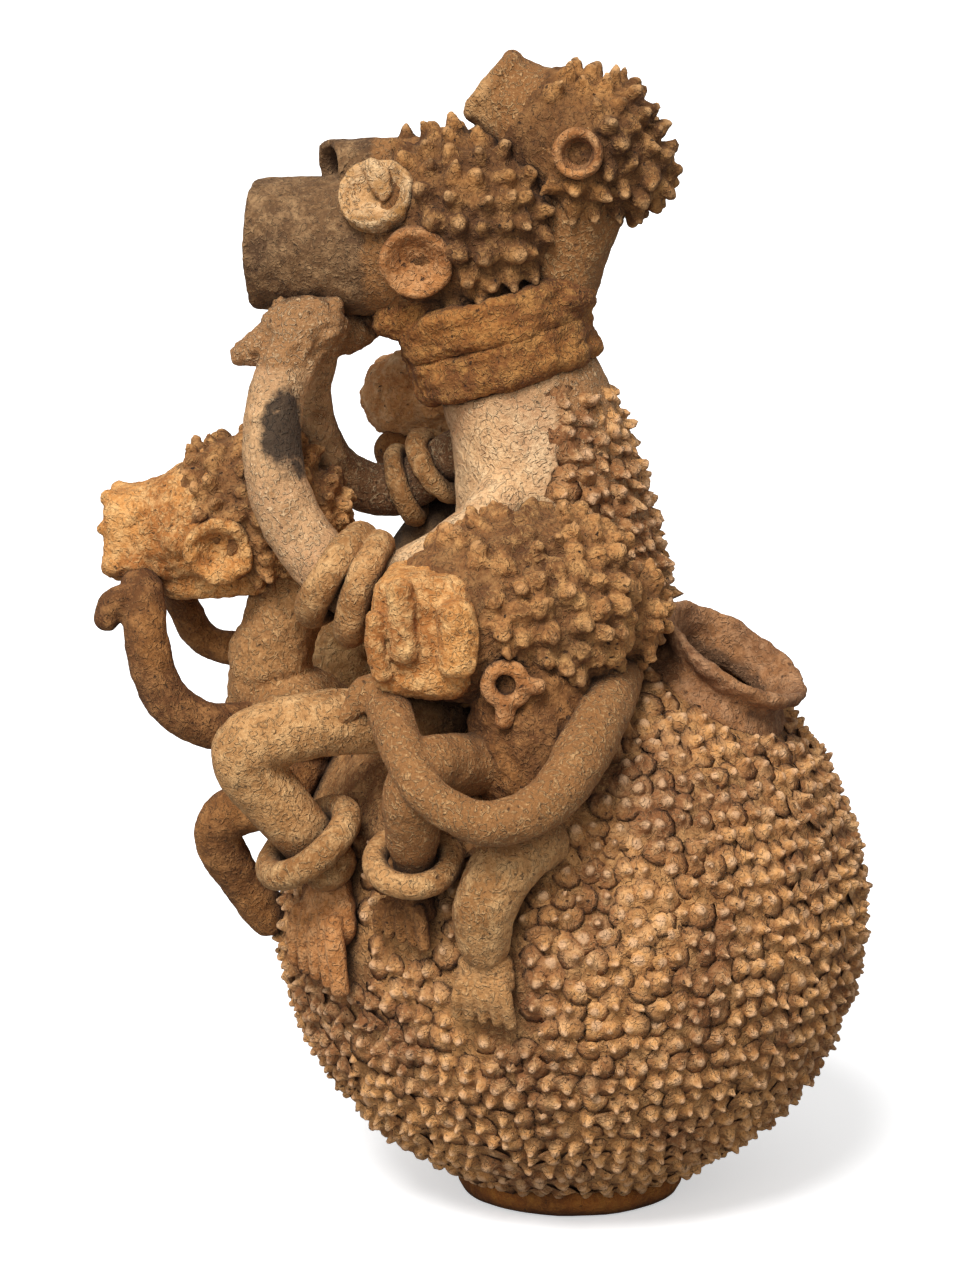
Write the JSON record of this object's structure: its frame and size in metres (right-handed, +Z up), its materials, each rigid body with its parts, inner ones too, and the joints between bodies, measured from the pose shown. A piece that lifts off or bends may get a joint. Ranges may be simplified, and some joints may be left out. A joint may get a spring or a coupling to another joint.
{
  "type": "figural terracotta vessel",
  "caption": "Round spiked terracotta pot on a low foot, with a seated two-headed mother, children, loose clay anklets and a flared mouth on its shoulder.",
  "frame": {"origin": "middle of the flat underside of the foot", "axes": "+Z up, -X the way the mother faces, -Y her left side, which is the side that the picture shows"},
  "size_m": [0.3724, 0.3338, 0.5462],
  "materials": {
    "buff_clay": "matt fired clay",
    "brown_clay": "matt fired clay",
    "red_clay": "matt fired clay",
    "sooted_clay": "matt sooted clay"
  },
  "bodies": {
    "vessel": {"back_studs": "brown_clay", "collar_lower_band": "red_clay", "collar_upper_band": "red_clay", "far_child_body": "brown_clay", "far_child_head": "red_clay", "far_child_left_arm": "brown_clay", "far_child_left_leg": "sooted_clay", "far_child_right_arm": "brown_clay", "far_child_right_leg": "brown_clay", "foot_pad": "red_clay", "front_child_body": "buff_clay", "front_child_ear": "red_clay", "front_child_hair": "brown_clay", "front_child_head": "red_clay", "front_child_jaw": "red_clay", "front_child_left_arm": "brown_clay", "front_child_left_leg": "brown_clay", "front_child_right_arm": "brown_clay", "front_child_right_leg": "brown_clay", "front_head": "brown_clay", "front_head_spikes": "brown_clay", "front_left_ear": "red_clay", "front_left_eye": "red_clay", "front_nose": "brown_clay", "front_right_ear": "red_clay", "front_right_eye": "red_clay", "left_arm": "buff_clay", "left_foot": "red_clay", "left_hand": "buff_clay", "left_inner_bracelet": "buff_clay", "left_leg": "buff_clay", "left_outer_bracelet": "buff_clay", "neck": "buff_clay", "pot_body": "brown_clay", "pot_mouth": "red_clay", "pot_studs": "brown_clay", "rear_head": "buff_clay", "rear_head_spikes": "brown_clay", "rear_left_ear": "red_clay", "rear_neck": "buff_clay", "rear_right_ear": "red_clay", "right_arm": "buff_clay", "right_foot": "red_clay", "right_hand": "buff_clay", "right_inner_bracelet": "buff_clay", "right_leg": "buff_clay", "right_outer_bracelet": "buff_clay", "side_child_body": "brown_clay", "side_child_ear": "red_clay", "side_child_hair": "brown_clay", "side_child_head": "red_clay", "side_child_left_arm": "buff_clay", "side_child_left_foot": "buff_clay", "side_child_left_leg": "buff_clay", "side_child_right_foot": "brown_clay", "side_child_right_leg": "buff_clay", "torso": "buff_clay"},
    "left_anklet": {"left_anklet": "buff_clay"},
    "right_anklet": {"right_anklet": "buff_clay"},
    "side_child_anklet": {"side_child_anklet": "buff_clay"}
  },
  "joints": [
    {"name": "left_anklet_turn", "type": "hinge", "parent": "vessel", "child": "left_anklet", "pos_m": [-0.12216, -0.09414, 0.19442], "axis": [0.5831, 0.209, -0.785], "continuous": true},
    {"name": "right_anklet_turn", "type": "hinge", "parent": "vessel", "child": "right_anklet", "pos_m": [-0.09148, 0.12417, 0.19442], "axis": [0.5029, -0.3616, -0.785], "continuous": true},
    {"name": "side_child_anklet_turn", "type": "hinge", "parent": "vessel", "child": "side_child_anklet", "pos_m": [-0.07385, -0.1281, 0.19459], "axis": [0.0284, 0.4756, -0.8792], "continuous": true}
  ]
}
